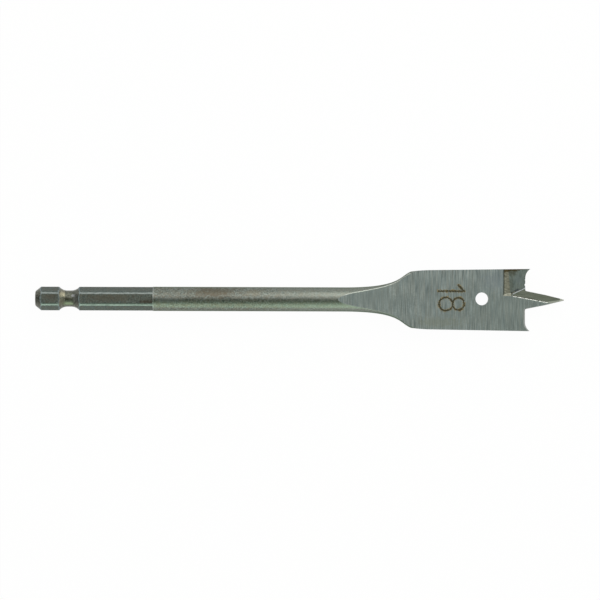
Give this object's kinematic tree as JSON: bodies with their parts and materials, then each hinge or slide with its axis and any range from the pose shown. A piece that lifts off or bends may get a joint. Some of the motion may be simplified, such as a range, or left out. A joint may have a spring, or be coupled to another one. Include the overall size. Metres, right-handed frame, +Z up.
{
  "type": "spade drill bit",
  "caption": "Flat-bladed spade drill bit for wood: hex shank with a power groove, round shaft, forged flare, and a ground blade with a hole, spurs and a brad point.",
  "frame": {"origin": "centre of the footprint, on the surface that the bit lies on", "axes": "+X along the bit's axis towards the point; +Z up from the surface and square to the blade's ground faces; +Y across the bit, to the left when looking along +X. The bit lies on the narrow flat along its shaft, with the blade level above the surface"},
  "size_m": [0.153, 0.018, 0.0069],
  "materials": {
    "tool_steel": "bare ground and forged tool steel, dull grey, with cross grinding marks on the blade"
  },
  "bodies": {
    "root": {"spade_bit": "tool_steel"}
  },
  "joints": []
}
